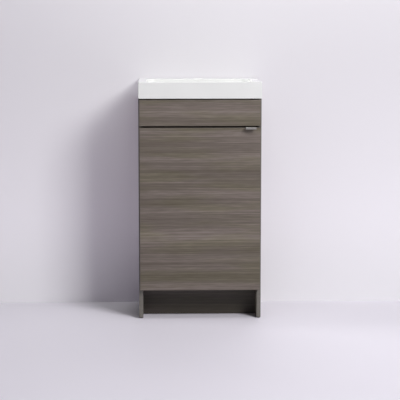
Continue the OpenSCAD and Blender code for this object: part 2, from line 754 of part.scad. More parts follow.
module hinge_cup_screws() color(steel) for (z = hinge_z, step = [-0.5, 0.5]) {
    x = cup_centre_u + cup_ear_offset - half_w;
    bar_y([x, y_door_back - short_screw_l + fit, z + step * cup_ear_pitch], screw_r,
        short_screw_l + cup_flange_t - fit);
    bar_y([x, y_door_back + cup_flange_t, z + step * cup_ear_pitch], screw_head_r, cup_screw_head_h);
}

// Basin: a hollow slab, open below, with the bowl's shell hanging from its top
module rounded_slab(low, high, r) translate([0, 0, low.z]) linear_extrude(high.z - low.z) {
    translate([low.x + r, low.y]) square([high.x - low.x - 2 * r, high.y - low.y]);
    translate([low.x, low.y + r]) square([high.x - low.x, high.y - low.y - 2 * r]);
    for (x = [low.x + r, high.x - r], y = [low.y + r, high.y - r]) translate([x, y]) circle(r = r);
}
module basin() color(ceramic) difference() {
    rounded_slab([-half_w, y_door_front, cabinet_h], [half_w, y_back, rim_z], basin_corner_r);
    block([-half_w + basin_wall, y_door_front + basin_wall, cabinet_h - eps],
        [half_w - basin_wall, y_back - basin_wall, shell_top]);
    rounded_slab([-bowl_half, bowl_front, shell_top - eps], [bowl_half, bowl_back, rim_z + eps],
        bowl_corner_r);
    bar_z([0, y_back - tap_hole_inset, shell_top - eps], tap_hole_r, basin_wall + 2 * eps);
}
// The bowl's form below the slab's top, grown by g on every side and drawn up to height top
module bowl_form(g, top) hull() {
    for (x = [-bowl_half + bowl_corner_r, bowl_half - bowl_corner_r],
        y = [bowl_front + bowl_corner_r, bowl_back - bowl_corner_r])
        translate([x, y, shell_top - eps]) cylinder(r = bowl_corner_r + g, h = top - shell_top + eps);
    foot = bowl_floor_r + bowl_draft;
    for (x = [-bowl_half + foot, bowl_half - foot], y = [bowl_front + foot, bowl_back - foot])
        translate([x, y, bowl_floor + bowl_floor_r]) {
            sphere(r = bowl_floor_r + g, $fn = 32);
            translate([0, 0, -bowl_floor_r - g]) cylinder(r = bowl_floor_flat_r, h = eps, $fn = 32);
        }
}
module basin_bowl() color(ceramic) difference() {
    bowl_form(bowl_wall, shell_top);
    bowl_form(0, shell_top + eps);
    bar_z([0, bowl_mid, shell_bottom - eps], waste_hole_r, bowl_wall + 2 * eps);
    bar_y([0, overflow_wall - bowl_draft, overflow_z], overflow_r + fit, 3 * bowl_draft);
    bar_y([0, overflow_wall - bowl_draft, overflow_z], overflow_r + overflow_lip + fit, bowl_draft
        + overflow_lip_t);
}
module overflow_ring() color(steel) difference() {
    union() {
        bar_y([0, overflow_wall, overflow_z], overflow_r + overflow_lip, overflow_lip_t);
        bar_y([0, overflow_wall, overflow_z], overflow_r, bowl_wall);
    }
    bar_y([0, overflow_wall - eps, overflow_z], overflow_r - cup_wall, bowl_wall + 2 * eps);
}

// Waste: a flanged body with a cross bar that guides the plug's stem
module waste_body() color(steel) translate([0, bowl_mid, 0]) difference() {
    union() {
        bar_z([0, 0, flange_z], flange_r, flange_t);
        bar_z([0, 0, nut_bottom], neck_r, flange_z - nut_bottom + eps);
        bar_z([0, 0, waste_end], waste_r, nut_bottom - waste_end + eps);
    }
    difference() {
        bar_z([0, 0, waste_end - eps], waste_bore_r, flange_z + flange_t - waste_end + 2 * eps);
        block([-waste_r, -spider_w / 2, shell_bottom - spider_t], [waste_r, spider_w / 2, shell_bottom]);
    }
    bar_z([0, 0, shell_bottom - spider_t - eps], stem_r + play, spider_t + 2 * eps);
}
module waste_seals() color(dark_plastic) translate([0, bowl_mid, 0]) {
    difference() {
        bar_z([0, 0, bowl_floor], flange_r - flange_t, seal_t);
        bar_z([0, 0, bowl_floor - eps], neck_r + fit, seal_t + 2 * eps);
    }
    difference() {
        bar_z([0, 0, shell_bottom - lower_seal_h], flange_r - flange_t, lower_seal_h);
        bar_z([0, 0, shell_bottom - lower_seal_h - eps], neck_r + fit, lower_seal_h + 2 * eps);
    }
}
module waste_backnut() color(steel) translate([0, bowl_mid, nut_bottom])
    difference() {
        cylinder(r = nut_r, h = nut_h, $fn = 6);
        translate([0, 0, -eps]) cylinder(r = neck_r + fit, h = nut_h + 2 * eps);
    }
module waste_plug() color(steel) translate([0, bowl_mid, 0]) {
    bar_z([0, 0, plug_z], plug_r, plug_t);
    bar_z([0, 0, plug_z - stem_l], stem_r, stem_l + eps);
}

side_panel_left();
side_panel_right();
side_edging();
base_panel();
base_edging();
plinth();
plinth_blocks();
plinth_screws();
floor_glides();
front_rail();
back_rail();
back_panel();
cam_locks();
cam_bolts();
dowels();
shelf();
shelf_edging();
shelf_pins();
fascia();
fascia_edging();
fascia_spacers();
fascia_screws();
fascia_brackets();
bracket_screws();
door();
door_edging();
door_bumpers();
door_handle();
handle_screws();
hinge_plates();
hinge_plate_screws();
hinge_arms();
hinge_arm_screws();
hinge_pins();
hinge_cups();
hinge_cup_screws();
hinge_outer_links();
hinge_inner_links();
basin();
basin_bowl();
overflow_ring();
waste_body();
waste_seals();
waste_backnut();
waste_plug();
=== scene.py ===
import math

import bpy
from mathutils import Matrix, Vector


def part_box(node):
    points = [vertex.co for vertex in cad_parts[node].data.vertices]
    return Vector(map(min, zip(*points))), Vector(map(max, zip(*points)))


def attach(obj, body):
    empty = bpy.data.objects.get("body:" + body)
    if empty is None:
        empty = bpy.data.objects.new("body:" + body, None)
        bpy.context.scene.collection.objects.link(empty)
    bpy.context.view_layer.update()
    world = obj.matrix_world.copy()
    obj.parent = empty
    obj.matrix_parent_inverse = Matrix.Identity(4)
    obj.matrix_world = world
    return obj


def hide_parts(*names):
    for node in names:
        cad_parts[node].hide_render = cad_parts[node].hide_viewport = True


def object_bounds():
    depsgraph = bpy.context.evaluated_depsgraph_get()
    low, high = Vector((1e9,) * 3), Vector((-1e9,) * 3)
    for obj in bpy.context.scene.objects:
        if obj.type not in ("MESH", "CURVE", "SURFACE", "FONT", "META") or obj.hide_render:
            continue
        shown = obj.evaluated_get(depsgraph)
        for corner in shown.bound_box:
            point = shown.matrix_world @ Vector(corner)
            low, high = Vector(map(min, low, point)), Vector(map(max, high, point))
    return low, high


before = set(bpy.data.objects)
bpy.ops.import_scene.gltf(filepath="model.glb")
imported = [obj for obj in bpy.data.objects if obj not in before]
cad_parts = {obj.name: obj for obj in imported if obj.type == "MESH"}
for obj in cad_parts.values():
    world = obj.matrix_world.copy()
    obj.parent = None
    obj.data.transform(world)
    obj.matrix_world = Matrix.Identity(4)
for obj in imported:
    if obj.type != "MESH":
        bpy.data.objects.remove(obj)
cad_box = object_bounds()

# Camera: it stands a little left of the unit, higher than the basin, and looks slightly
# down, as the photograph does. It keeps the whole unit in a square picture.
camera_place = Vector((-0.1497, -5.400, 1.1164))
camera_yaw = math.radians(1.630)
camera_pitch = math.radians(7.298)
picture_px = 400
focal_px = 1445.6
sensor_mm = 36.0

camera_data = bpy.data.cameras.new("camera")
camera_data.sensor_width = sensor_mm
camera_data.lens = focal_px / picture_px * sensor_mm
camera = bpy.data.objects.new("camera", camera_data)
camera.location = camera_place
camera.rotation_euler = (math.pi / 2 - camera_pitch, 0, -camera_yaw)
bpy.context.collection.objects.link(camera)
bpy.context.scene.camera = camera


# Studio: a wide pale floor and soft white light. The large lamp hangs in front of the
# unit, above its right side. Weaker ones light the top, the left side, the back and the
# bowl.
class Wire:
    """A shader socket. Python's operators on it add Math nodes to its material."""

    def __init__(self, tree, socket):
        self.tree, self.socket = tree, socket

    def node(self, kind, inputs, output=0, stops=(), **settings):
        """One output of a new node with these settings, ramp stops and inputs."""
        made = self.tree.nodes.new("ShaderNode" + kind)
        for name, value in settings.items():
            setattr(made, name, value)
        for _ in stops[2:]:
            made.color_ramp.elements.new(0.5)
        for index, (place, colour) in enumerate(stops):
            made.color_ramp.elements[index].position = place
            made.color_ramp.elements[index].color = (*colour, 1)
        for name, value in inputs.items():
            if isinstance(value, Wire):
                self.tree.links.new(value.socket, made.inputs[name])
            else:
                made.inputs[name].default_value = value
        return Wire(self.tree, made.outputs[output])

    def math(self, operation, first, second):
        return self.node("Math", {0: first, 1: second}, operation=operation)

    def __add__(self, other):
        return self.math("ADD", self, other)

    def __radd__(self, other):
        return self.math("ADD", other, self)

    def __sub__(self, other):
        return self.math("SUBTRACT", self, other)

    def __rsub__(self, other):
        return self.math("SUBTRACT", other, self)

    def __mul__(self, other):
        return self.math("MULTIPLY", self, other)

    def __rmul__(self, other):
        return self.math("MULTIPLY", other, self)

    def noise(self, stretch, detail=3.0, rough=0.5):
        """Noise from 0 to 1 whose cells have 1 / stretch metres along each axis."""
        place = self.node("Mapping", {"Vector": self, "Scale": stretch})
        return self.node("TexNoise", {"Vector": place, "Scale": 1.0, "Detail": detail,
                                      "Roughness": rough})

    def between(self, low, high):
        """0 below low, 1 above high, and a smooth step from one to the other."""
        return self.node("MapRange", {"Value": self, "From Min": low, "From Max": high},
                         interpolation_type="SMOOTHSTEP")

    def blend(self, share, first, second, how):
        """Two colours blended. A Mix node takes colours on its sockets 6 and 7."""
        return self.node("Mix", {0: share, 6: first, 7: second}, output=2,
                         data_type="RGBA", blend_type=how)

    def mixed(self, first, second):
        """Colour first where this is 0 and second where it is 1."""
        first, second = (c if isinstance(c, Wire) else (*c, 1) for c in (first, second))
        return self.blend(self, first, second, "MIX")

    def times(self, other):
        """This colour multiplied by another."""
        return self.blend(1.0, self, other, "MULTIPLY")

    def bumps(self, depth):
        """A surface normal in which this height from 0 to 1 is depth metres deep."""
        return self.node("Bump", {"Height": self, "Distance": depth, "Strength": 1.0})


class Finish:
    """A material with one Principled shader, and the point that its patterns read."""

    def __init__(self, name, **constants):
        self.material = bpy.data.materials.new(name)
        self.material.use_nodes = True
        self.tree = self.material.node_tree
        self.shader = self.tree.nodes["Principled BSDF"]
        for socket, value in constants.items():
            self.shader.inputs[socket.replace("_", " ")].default_value = value
        coordinates = self.tree.nodes.new("ShaderNodeTexCoord")
        self.point = Wire(self.tree, coordinates.outputs["Object"])

    def feed(self, **wires):
        """Wires patterns to the shader's sockets and hands over the finished material."""
        for socket, wire in wires.items():
            self.tree.links.new(wire.socket, self.shader.inputs[socket.replace("_", " ")])
        return self.material


room = 60.0
floor_pale = (0.803, 0.769, 0.853)
floor_worn = (0.788, 0.755, 0.838)
# Wall paint: lighter near the floor and darker higher up. This is painted light and shade that
# evens out how the lamps light the wall.
wall_painted_light_low = (0.748, 0.740, 0.759)
wall_painted_shade_high = (0.552, 0.548, 0.556)
# Wall glow: painted fill light that lifts the wall's shadows. It is weaker near the floor, as
# painted shade in the corner.
painted_fill_low = (0.029, 0.022, 0.037)
painted_fill_high = (0.098, 0.080, 0.112)
painted_shade_rise = 1.1
painted_fill_rise = 0.4
wall_gap = 0.002
wall_height = 8.0
bpy.ops.object.select_all(action="DESELECT")
bpy.ops.mesh.primitive_plane_add(size=room, location=(0, 0, 0))
floor = bpy.context.object
floor.name = "studio_floor"
floor_finish = Finish("studio_floor", Roughness=0.6)
clouds = floor_finish.point.noise((1.1, 1.1, 1.1), detail=2.0)
floor.data.materials.append(floor_finish.feed(
    Base_Color=clouds.between(0.3, 0.7).mixed(floor_pale, floor_worn)))

# The wall behind the unit is only a picture: it shows its front and lets all light pass.
bpy.ops.mesh.primitive_plane_add(size=1)
wall = bpy.context.object
wall.name = "studio_wall"
wall.data.transform(Matrix.Translation((0, cad_box[1].y + wall_gap, wall_height / 2))
                    @ Matrix.Rotation(math.pi / 2, 4, "X")
                    @ Matrix.Diagonal((room, wall_height, 1, 1)))
wall_finish = Finish("studio_wall", Roughness=0.7, Emission_Strength=1.0)
height = wall_finish.point.node("SeparateXYZ", {0: wall_finish.point}, output="Z")
from_behind = wall_finish.point.node("NewGeometry", {}, output="Backfacing")
wall.data.materials.append(wall_finish.feed(
    # Painted light low down and painted shade higher up, in the wall's paint.
    Base_Color=height.between(0, painted_shade_rise).mixed(wall_painted_light_low, wall_painted_shade_high),
    # Painted fill light, which fades towards the floor as painted shade.
    Emission_Color=height.between(0, painted_fill_rise).mixed(painted_fill_low, painted_fill_high),
    Alpha=1 - from_behind))
wall.visible_shadow = wall.visible_diffuse = False

air_colour = (0.97, 0.97, 1.0, 1)
air_strength = 0.04
world = bpy.data.worlds.new("studio_air")
world.use_nodes = True
world.node_tree.nodes["Background"].inputs["Color"].default_value = air_colour
world.node_tree.nodes["Background"].inputs["Strength"].default_value = air_strength
bpy.context.scene.world = world


def lamp(name, place, target, size, watts, spread=180):
    """A square soft lamp at place that faces target; spread is its beam in degrees."""
    data = bpy.data.lights.new(name, "AREA")
    data.size = size
    data.energy = watts
    data.spread = math.radians(spread)
    light = bpy.data.objects.new(name, data)
    light.location = place
    light.rotation_euler = (Vector(target) - Vector(place)).to_track_quat("-Z", "Y").to_euler()
    bpy.context.collection.objects.link(light)


unit_middle = (0.0, -0.1, 0.5)
lamp("key_lamp", (3.6, -4.7, 4.3), unit_middle, 2.4, 400)
lamp("top_lamp", (0.2, -0.6, 2.4), unit_middle, 1.2, 17.5)
lamp("fill_lamp", (-2.5, -3.6, 2.4), unit_middle, 2.5, 8)
lamp("back_lamp", (0.5, 2.2, 2.4), (0.0, 0.1, 0.6), 2.0, 20)
lamp("basin_lamp", (-1.8, 0.35, 1.55), (0.15, 0.0, 0.84), 0.8, 2.6, spread=36)
bpy.context.scene.view_settings.view_transform = "Standard"


# Side panels: two boards of faced chipboard that run down to the floor. The facing is a
# printed brown-grey wood effect with fine level streaks, pressed on with a slight grain.
grain_depth = 0.00006
ripple = 0.009
sheet_start = (1.4, -3.0, 0.6)
grain_dark = (0.080, 0.067, 0.0495)
grain_middle = (0.124, 0.107, 0.088)
grain_light = (0.217, 0.190, 0.164)
tint_olive = (0.982, 0.972, 0.855)
tint_taupe = (1.032, 0.980, 1.015)


def wood_effect(name, level_board=False, shade=1.0):
    """The facing of a board; on a level board the streaks follow each other to the back. A
    shade below 1 darkens the whole facing as painted shade.
    """
    decor = Finish(name, Specular_IOR_Level=0.4)
    point = decor.point
    if level_board:
        point = point.node("Mapping", {"Vector": point, "Rotation": (math.pi / 2, 0, 0)})
    point = point.node("VectorMath", {0: point, 1: sheet_start}, operation="ADD")
    drift = point.noise((2.2, 2.2, 7.0), detail=1.0) - 0.5
    lift = point.node("CombineXYZ", {"X": 0.0, "Y": 0.0, "Z": drift * ripple})
    point = point.node("VectorMath", {0: point, 1: lift}, operation="ADD")
    bands = point.noise((0.9, 0.9, 22.0), detail=0.0)
    streaks = point.noise((3.0, 3.0, 75.0), detail=2.0)
    lines = point.noise((1.2, 1.2, 240.0), detail=2.0, rough=0.6)
    threads = point.noise((18.0, 18.0, 300.0), detail=2.0)
    blotch = point.noise((2.8, 2.8, 22.0), detail=2.0)
    tone = 0.30 * bands + 0.10 * streaks + 0.38 * lines + 0.22 * threads
    grain = tone.node("ValToRGB", {"Fac": tone}, stops=[
        (place, [shade * part for part in colour]) for place, colour in
        ((0.34, grain_dark), (0.50, grain_middle), (0.67, grain_light))])
    tint = (blotch * 0.75 + bands * 0.25).between(0.40, 0.60).mixed(tint_olive, tint_taupe)
    return decor.feed(Base_Color=grain.times(tint), Roughness=0.40 + 0.22 * threads,
                      Normal=tone.bumps(grain_depth))


def dress(material, *nodes):
    """Gives drawn parts that keep their own shape their finish."""
    for node in nodes:
        for material_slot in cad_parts[node].material_slots:
            material_slot.material = material


upright_facing = wood_effect("board_facing_upright")
level_facing = wood_effect("board_facing_level", level_board=True)
dress(upright_facing, "side_panel_left", "side_panel_right")


# Lipping of the side panels: thin plain grey plastic strips, glued to the front edges and
# trimmed to a small round along both sides.
weld = 2e-6
crease = math.radians(35)
flat_enough = math.radians(0.5)
lipping_round = 0.0008


def take_up(piece):
    """Makes a piece the one that the next operators work on."""
    bpy.ops.object.select_all(action="DESELECT")
    bpy.context.view_layer.objects.active = piece
    piece.select_set(True)


def unpick(piece):
    """Lets go of every corner, edge and face of a piece."""
    for part in (*piece.data.vertices, *piece.data.edges, *piece.data.polygons):
        part.select = False


def smoothed(piece):
    """Shades a piece smoothly across its rounds and flat on its flat faces."""
    take_up(piece)
    bpy.ops.object.shade_smooth_by_angle(angle=crease)
    even = piece.modifiers.new("even", "WEIGHTED_NORMAL")
    even.keep_sharp = True
    bpy.ops.object.modifier_apply(modifier="even")
    return piece


def softened(node, name, width, segments=3, chosen=None):
    """A copy of a drawn part with its sharp edges rounded, to stand in its place."""
    piece = bpy.data.objects.new(name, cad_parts[node].data.copy())
    bpy.context.collection.objects.link(piece)
    take_up(piece)
    bpy.context.tool_settings.mesh_select_mode = (False, True, False)
    bpy.ops.object.mode_set(mode="EDIT")
    bpy.ops.mesh.select_all(action="SELECT")
    bpy.ops.mesh.remove_doubles(threshold=weld)
    bpy.ops.mesh.dissolve_limited(angle_limit=flat_enough)
    bpy.ops.mesh.select_all(action="DESELECT")
    bpy.ops.mesh.edges_select_sharp(sharpness=crease)
    bpy.ops.object.mode_set(mode="OBJECT")
    sharp = [edge for edge in piece.data.edges if edge.select]
    unpick(piece)
    for edge in sharp:
        ends = [piece.data.vertices[corner] for corner in edge.vertices]
        if chosen is None or chosen((ends[0].co + ends[1].co) / 2):
            edge.select = ends[0].select = ends[1].select = True
    bpy.ops.object.mode_set(mode="EDIT")
    bpy.ops.mesh.bevel(offset=width, segments=segments, affect="EDGES", clamp_overlap=True)
    bpy.ops.object.mode_set(mode="OBJECT")
    return smoothed(piece)


def fit_out(piece, material, body, finish_slot, *nodes):
    """Finishes a piece, hangs it on its body and lets it stand for the drawn nodes."""
    piece.data.materials.clear()
    piece.data.materials.append(material)
    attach(piece, body)
    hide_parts(*nodes)


def strip_finish(name, colour, streak):
    """The plain plastic of an edge strip, with faint rub marks along it."""
    strip = Finish(name)
    rub = strip.point.noise((9, 9, 400), detail=2.0)
    return strip.feed(Base_Color=rub.between(0.3, 0.7).mixed(colour, streak),
                      Roughness=0.34 + 0.14 * rub, Normal=rub.bumps(0.00002))


lipping_grey = (0.156, 0.145, 0.128)
lipping_streak = (0.138, 0.128, 0.113)
lipping_material = strip_finish("grey_lipping", lipping_grey, lipping_streak)


def any_front(node):
    """Picks every edge of a strip's front."""
    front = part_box(node)[0].y
    return lambda middle: abs(middle.y - front) < weld


fit_out(softened("side_edging", "side_lipping", lipping_round, chosen=any_front("side_edging")),
        lipping_material, "root", "lipping", "side_edging")


# Base, rails and shelf: faced boards between the side panels. Their glued joints are
# inside, and the base and the shelf have the same grey lipping on their front edges.
dress(level_facing, "base_panel", "shelf")
dress(upright_facing, "front_rail", "back_rail")
for strip in ("base_edging", "shelf_edging"):
    piece = softened(strip, strip.replace("edging", "lipping"), lipping_round,
                     chosen=any_front(strip))
    fit_out(piece, lipping_material, "root", "lipping", strip)


# Plinth: a faced board set back under the base, held from behind by two beech blocks that
# are glued into the corners and screwed. Its facing is darkened as painted shade, for the
# recess under the door.
block_round = 0.001
beech_light = (0.60, 0.43, 0.26)
beech_dark = (0.47, 0.31, 0.17)
beech_fleck = (0.34, 0.20, 0.10)
plinth_painted_shade = 0.42
dress(wood_effect("board_facing_plinth_painted_shade", shade=plinth_painted_shade), "plinth")
beech = Finish("beech", Roughness=0.6)
rings = beech.point.noise((90, 90, 7), detail=3.0)
flecks = beech.point.noise((1500, 1500, 160), detail=1.0).between(0.64, 0.74)
beech_wood = rings.between(0.3, 0.7).mixed(beech_light, beech_dark)
beech_material = beech.feed(Base_Color=(0.5 * flecks).mixed(beech_wood, beech_fleck),
                            Roughness=0.55 + 0.2 * rings, Normal=rings.bumps(0.0001))
fit_out(softened("plinth_blocks", "plinth_corner_blocks", block_round), beech_material,
        "root", "timber", "plinth_blocks")


# Screws: zinc-plated steel with low domed heads and cross recesses, driven home. One is
# turned for each size and copied to every hole that the drawing gives.
tip = 1e-6
turned_sides = 36
cross_taper = 0.55
screw_head_h = 0.002
screw_shank_r = 0.00175


def turned(name, stations, sides=turned_sides):
    """A round piece on the Z axis through (radius, height) stations, as on a lathe."""
    bpy.ops.object.select_all(action="DESELECT")
    radius, height = stations[0]
    bpy.ops.mesh.primitive_circle_add(vertices=sides, radius=max(radius, tip))
    piece = bpy.context.object
    piece.name = name
    bpy.ops.object.mode_set(mode="EDIT")
    bpy.ops.mesh.select_all(action="SELECT")
    bpy.ops.transform.translate(value=(0, 0, height))
    for next_radius, next_height in stations[1:]:
        bpy.ops.mesh.extrude_region_move(
            TRANSFORM_OT_translate={"value": (0, 0, next_height - height)})
        grow = max(next_radius, tip) / max(radius, tip)
        bpy.ops.transform.resize(value=(grow, grow, 1), center_override=(0, 0, 0))
        radius, height = next_radius, next_height
    bpy.ops.mesh.select_all(action="SELECT")
    bpy.ops.mesh.remove_doubles(threshold=2 * weld)
    bpy.ops.mesh.normals_make_consistent(inside=False)
    bpy.ops.object.mode_set(mode="OBJECT")
    bpy.ops.object.shade_smooth_by_angle(angle=crease)
    return piece


def join_by(piece, other, operation="DIFFERENCE"):
    """Cuts one modelled piece out of another, or joins them into one solid."""
    take_up(piece)
    cut = piece.modifiers.new("cut", "BOOLEAN")
    cut.operation = operation
    cut.solver = "EXACT"
    cut.object = other
    bpy.ops.object.modifier_apply(modifier="cut")
    bpy.data.objects.remove(other)


def cross(width, across, top, bottom):
    """The tapered cross that a driver leaves in a head, from top down to bottom."""
    bpy.ops.object.select_all(action="DESELECT")
    arms = []
    for turn in (0, math.pi / 2):
        bpy.ops.mesh.primitive_cube_add(size=1)
        arm = bpy.context.object
        arm.data.transform(Matrix.Translation((0, 0, (top + bottom) / 2))
                           @ Matrix.Rotation(turn, 4, "Z")
                           @ Matrix.Diagonal((across, width, top - bottom, 1)))
        bpy.context.tool_settings.mesh_select_mode = (True, False, False)
        unpick(arm)
        for corner in arm.data.vertices:
            corner.select = corner.co.z < (top + bottom) / 2
        bpy.ops.object.mode_set(mode="EDIT")
        bpy.ops.transform.resize(value=(cross_taper, cross_taper, 1),
                                 center_override=(0, 0, 0))
        bpy.ops.object.mode_set(mode="OBJECT")
        arms.append(arm)
    join_by(*arms, "UNION")
    return arms[0]


def cross_headed(head_r, head_h, shank_r, length):
    """A screw that points down, with the underside of its head at the origin."""
    point = min(2.5 * shank_r, 0.4 * length)
    screw = turned("screw", [
        (0, -length), (0.75 * shank_r, point - length), (shank_r, 1.3 * point - length),
        (shank_r, 0), (0.97 * head_r, 0), (head_r, 0.12 * head_h), (head_r, 0.35 * head_h),
        (0.93 * head_r, 0.62 * head_h), (0.74 * head_r, 0.86 * head_h),
        (0.45 * head_r, head_h), (0, head_h)])
    join_by(screw, cross(0.30 * head_r, 1.15 * head_r, 1.2 * head_h, 0.25 * head_h))
    return smoothed(screw)


def solids(node):
    """The lowest and highest corner of each separate solid of a drawn node."""
    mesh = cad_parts[node].data
    spots = [tuple(round(c, 6) for c in vertex.co) for vertex in mesh.vertices]
    leader = {spot: spot for spot in spots}

    def lead(spot):
        while leader[spot] != spot:
            leader[spot] = leader[leader[spot]]
            spot = leader[spot]
        return spot
    for face in mesh.polygons:
        first = lead(spots[face.vertices[0]])
        for corner in face.vertices[1:]:
            leader[lead(spots[corner])] = first
    members = {}
    for spot in leader:
        members.setdefault(lead(spot), []).append(spot)
    boxes = [(Vector(map(min, zip(*m))), Vector(map(max, zip(*m)))) for m in members.values()]
    return sorted(boxes, key=lambda b: (round(b[0].x, 4), round(b[0].y, 4), round(b[0].z, 4)))


def facing(place, direction):
    """The place of a copy whose own Z axis points along direction."""
    turn = Vector((0, 0, 1)).rotation_difference(Vector(direction))
    return Matrix.Translation(place) @ turn.to_matrix().to_4x4()


def set_out(name, model, pieces):
    """Like pieces as one object: each size is modelled once and copied to its places."""
    masters, copies = {}, []
    for lengths, place in pieces:
        size = tuple(round(length, 6) for length in lengths)
        if size not in masters:
            masters[size] = model(*lengths)
        copy = bpy.data.objects.new(name, masters[size].data.copy())
        copy.data.transform(place)
        copies.append(copy)
    bpy.ops.object.select_all(action="DESELECT")
    for copy in copies:
        bpy.context.collection.objects.link(copy)
        copy.select_set(True)
    bpy.context.view_layer.objects.active = copy
    if len(copies) > 1:
        bpy.ops.object.join()
    copy.name = name
    for master in masters.values():
        bpy.data.objects.remove(master)
    return copy


zinc_pale = (0.66, 0.69, 0.74)
zinc_warm = (0.70, 0.67, 0.58)
zinc = Finish("zinc_plate", Metallic=1.0)
film = zinc.point.noise((140, 140, 140), detail=2.0)
scuff = zinc.point.noise((900, 900, 2600), detail=2.0)
zinc_material = zinc.feed(Base_Color=film.between(0.4, 0.75).mixed(zinc_pale, zinc_warm),
                          Roughness=0.26 + 0.2 * scuff, Normal=scuff.bumps(0.00002))


def drive_screws(node, name, body, directions, head_h=screw_head_h, shank_r=screw_shank_r):
    """Puts a cross-headed screw where each solid of a node is, facing its direction."""
    pieces = []
    for (low, high), out in zip(solids(node), directions):
        axis = [abs(c) for c in out].index(1)
        across = (axis + 1) % 3
        under_head = (low + high) / 2
        under_head[axis] = high[axis] - head_h if out[axis] > 0 else low[axis] + head_h
        head_r = (high[across] - low[across]) / 2
        length = high[axis] - low[axis] - head_h
        pieces.append(((head_r, head_h, shank_r, length), facing(under_head, out)))
    fit_out(set_out(name, cross_headed, pieces), zinc_material, body, "zinc_steel", node)


to_room, to_wall = (0, -1, 0), (0, 1, 0)
to_left, to_right = (-1, 0, 0), (1, 0, 0)
drive_screws("plinth_screws", "plinth_block_screws", "root", [to_wall] * 4)


# Glides: small round feet of moulded black plastic, nailed under the side panels, with a
# rounded rim.
glide_rim = 0.0012


def glide(radius, height):
    """A foot that stands on the floor, with a rounded rim."""
    return turned("glide", [
        (0, 0), (radius - 2 * glide_rim, 0), (radius - 0.6 * glide_rim, 0.35 * glide_rim),
        (radius, glide_rim), (radius, height), (0, height)])


def standing(low, high, foot_z):
    """The place of an upright copy on the axis of a solid."""
    return Matrix.Translation(((low.x + high.x) / 2, (low.y + high.y) / 2, foot_z))


plastic_black = (0.016, 0.016, 0.018)
plastic_rubbed = (0.026, 0.026, 0.028)
panel_foot_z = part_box("side_panel_left")[0].z
glides = set_out("glides", glide, [
    (((high.x - low.x) / 2, panel_foot_z), standing(low, high, 0))
    for low, high in solids("floor_glides")])
black = Finish("black_plastic")
pits = black.point.noise((2500, 2500, 2500), detail=1.0)
black_material = black.feed(Base_Color=pits.mixed(plastic_black, plastic_rubbed),
                            Roughness=0.38 + 0.25 * pits, Normal=pits.bumps(0.00003))
fit_out(glides, black_material, "root", "black_plastic", "floor_glides")


# Back panel: thin fibreboard with a pale printed face, slid into grooves, with a cut-out
# for the pipes. Behind it is the space in which they run.
back_pale = (0.56, 0.55, 0.52)
back_grey = (0.47, 0.46, 0.43)
back_board = Finish("back_panel_face", Specular_IOR_Level=0.35)
fibres = back_board.point.noise((420, 420, 900), detail=3.0)
cloudy = back_board.point.noise((9, 9, 14), detail=2.0)
mottle = (0.6 * fibres + 0.4 * cloudy).between(0.35, 0.65)
back_face = back_board.feed(Base_Color=mottle.mixed(back_pale, back_grey),
                            Roughness=0.5 + 0.2 * fibres, Normal=fibres.bumps(0.00004))
dress(back_face, "back_panel")


# Joint fittings: zinc cam locks pull steel bolts into the rails and the base, and plain
# beech dowels keep the boards in line. Bolts and dowels lie inside the boards.
cam_edge = 0.0004
cam_groove = 0.0005
cam_recess = 0.0028
cutter_reach = 0.001


def cam_lock(cam_r, depth):
    """A lock let in by depth, with a ring groove and a cross recess in its face."""
    lock = turned("cam", [
        (0, -depth), (cam_r - cam_edge, -depth), (cam_r, cam_edge - depth),
        (cam_r, -cam_edge), (cam_r - cam_edge, 0), (0.80 * cam_r, 0),
        (0.78 * cam_r, -cam_groove), (0.52 * cam_r, -cam_groove), (0.48 * cam_r, 0),
        (0, 0)])
    join_by(lock, cross(0.17 * cam_r, 0.92 * cam_r, cutter_reach, -cam_recess))
    return smoothed(lock)


dress(zinc_material, "cam_bolts")
dress(beech_material, "dowels")
cams = []
for low, high in solids("cam_locks"):
    size = high - low
    middle = (low + high) / 2
    if size.z < size.x - weld:
        out, depth = (0, 0, -1), size.z
        middle.z = low.z
    else:
        out, depth = (to_wall if middle.y < 0 else to_room), size.y
        middle.y = high.y if middle.y < 0 else low.y
    cams.append(((size.x / 2, depth), facing(middle, out)))
fit_out(set_out("cams", cam_lock, cams), zinc_material, "root", "zinc_steel", "cam_locks")


# Shelf pins: turned steel pegs with a thin collar, pushed into the row of holes; their
# upper halves are flattened where the shelf lies on them.
peg_round = 0.0003
fit_out(softened("shelf_pins", "shelf_pegs", peg_round, segments=2), zinc_material, "root",
        "zinc_steel", "shelf_pins")


# Fascia: a false drawer front of the same faced board, with browner lipping on all four
# edges. Two screws hold it from behind through plastic spacers, and two steel angles do so
# near its top.
def outer_edges(node):
    """Picks the edges where the lipping's front and back meet its outer faces."""
    low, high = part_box(node)

    def chosen(middle):
        faced = min(abs(middle.y - low.y), abs(middle.y - high.y)) < weld
        rim = min(abs(middle.x - low.x), abs(middle.x - high.x),
                  abs(middle.z - low.z), abs(middle.z - high.z)) < weld
        return faced and rim
    return chosen


def head_side(low, high):
    """Where an angle's screw shows its head: into the cabinet, or away from the fascia."""
    if high.x - low.x <= high.y - low.y:
        return to_wall
    return to_right if high.x < 0 else to_left


